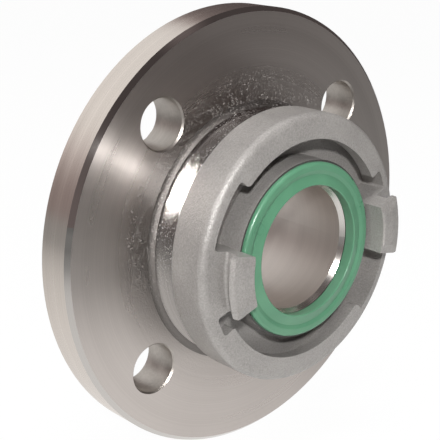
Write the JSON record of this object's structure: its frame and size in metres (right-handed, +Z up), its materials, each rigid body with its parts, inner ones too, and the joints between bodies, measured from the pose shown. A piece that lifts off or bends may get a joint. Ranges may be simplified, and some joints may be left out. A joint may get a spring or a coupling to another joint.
{
  "type": "storz coupling",
  "caption": "Storz coupling half on a round pipe flange, with hooked lugs, ramped locking lips and a green seal round a straight waterway.",
  "frame": {"origin": "centre of the flange's rear sealing face, on the coupling's axis", "axes": "-Y along the axis from the pipe flange to the coupling face, +Z up as in the picture, +X to the right seen from the coupling face"},
  "size_m": [0.165, 0.055, 0.165],
  "materials": {
    "turned_steel": "turned",
    "blasted_steel": "bead blasted",
    "seal_rubber": "satin",
    "spring_wire": "drawn"
  },
  "bodies": {
    "flange": {"flange_spigot": "turned_steel", "retaining_ring": "spring_wire"},
    "lug_ring": {"lug_ring": "blasted_steel", "seal_ring": "seal_rubber"}
  },
  "joints": [
    {"name": "lug_ring_swivel", "type": "hinge", "parent": "flange", "child": "lug_ring", "pos_m": [0, -0.0387, 0], "axis": [0, -1, 0], "continuous": true}
  ]
}
